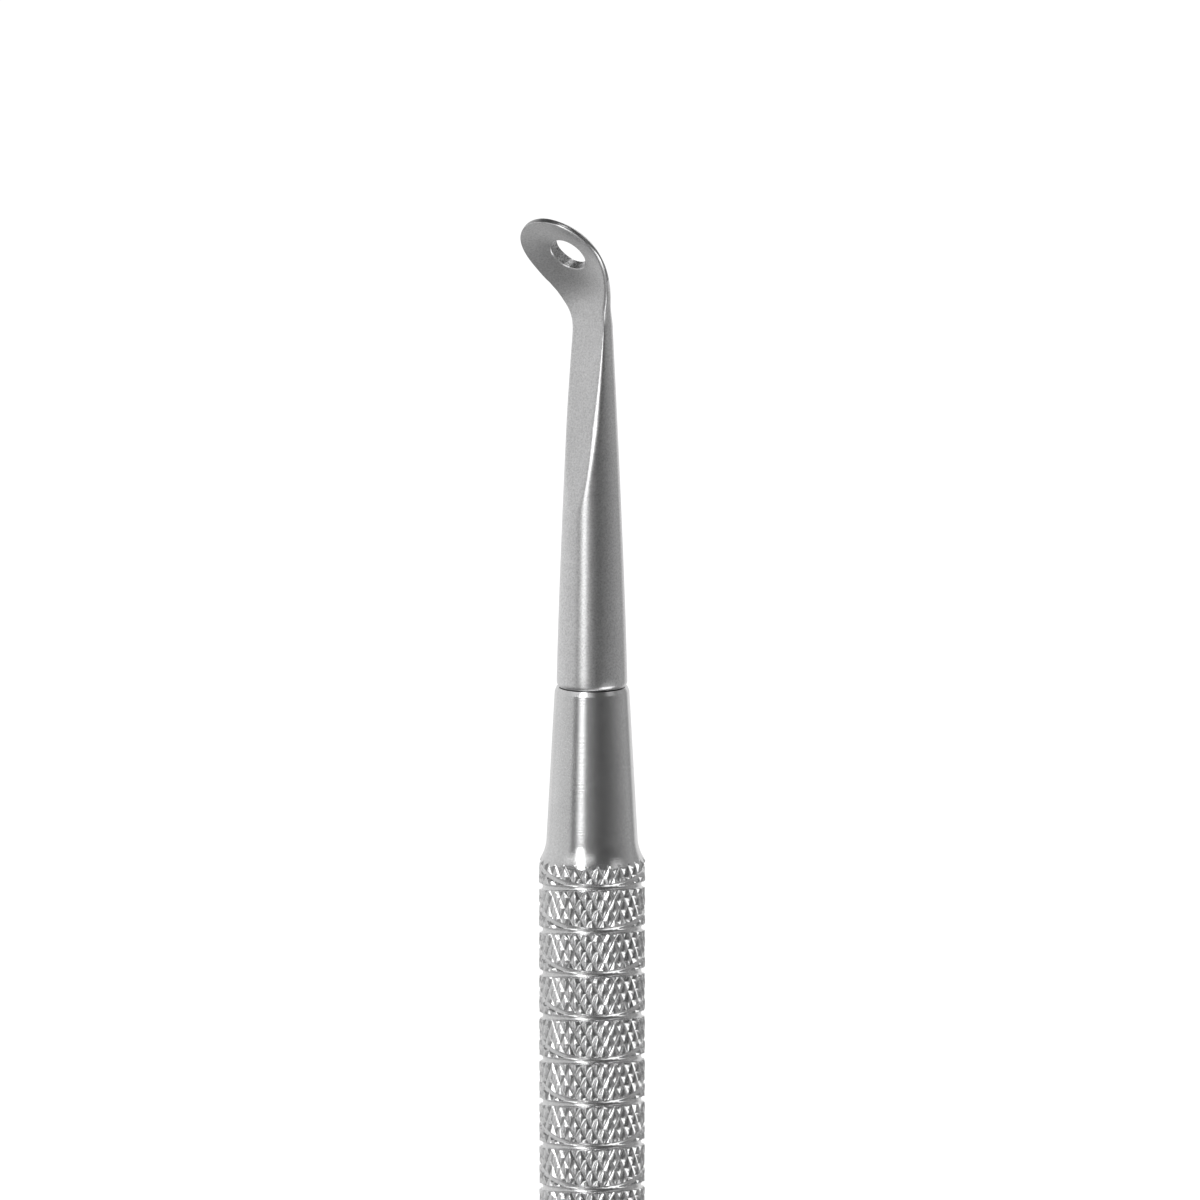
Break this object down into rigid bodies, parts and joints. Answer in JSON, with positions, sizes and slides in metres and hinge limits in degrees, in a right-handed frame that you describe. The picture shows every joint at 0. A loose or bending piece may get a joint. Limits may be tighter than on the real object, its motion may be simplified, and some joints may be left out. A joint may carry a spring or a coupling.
{
  "type": "blackhead extractor",
  "caption": "Slim steel skin-care hand tool: knurled, ring-grooved grip with a screw-in bent spoon tip with a hole at one end and a lancet tip at the other.",
  "frame": {"origin": "middle of the grip, on the tool's axis", "axes": "+Z along the tool's axis towards the spoon tip, -Y towards the viewer of the picture, +X to the viewer's right"},
  "size_m": [0.0081, 0.0084, 0.1418],
  "materials": {
    "handle_steel": "satin, knurled grip and turned cones",
    "spoon_steel": "satin polished, fine ground front",
    "lancet_steel": "satin polished"
  },
  "bodies": {
    "handle": {"handle": "handle_steel"},
    "spoon_tip": {"spoon_tip": "spoon_steel"},
    "lancet_tip": {"lancet_tip": "lancet_steel"}
  },
  "joints": [
    {"name": "spoon_release", "type": "slide", "parent": "handle", "child": "spoon_tip", "axis": [0, 0, 1], "range_m": [0, 0.01]},
    {"name": "lancet_release", "type": "slide", "parent": "handle", "child": "lancet_tip", "axis": [0, 0, -1], "range_m": [0, 0.01]}
  ]
}
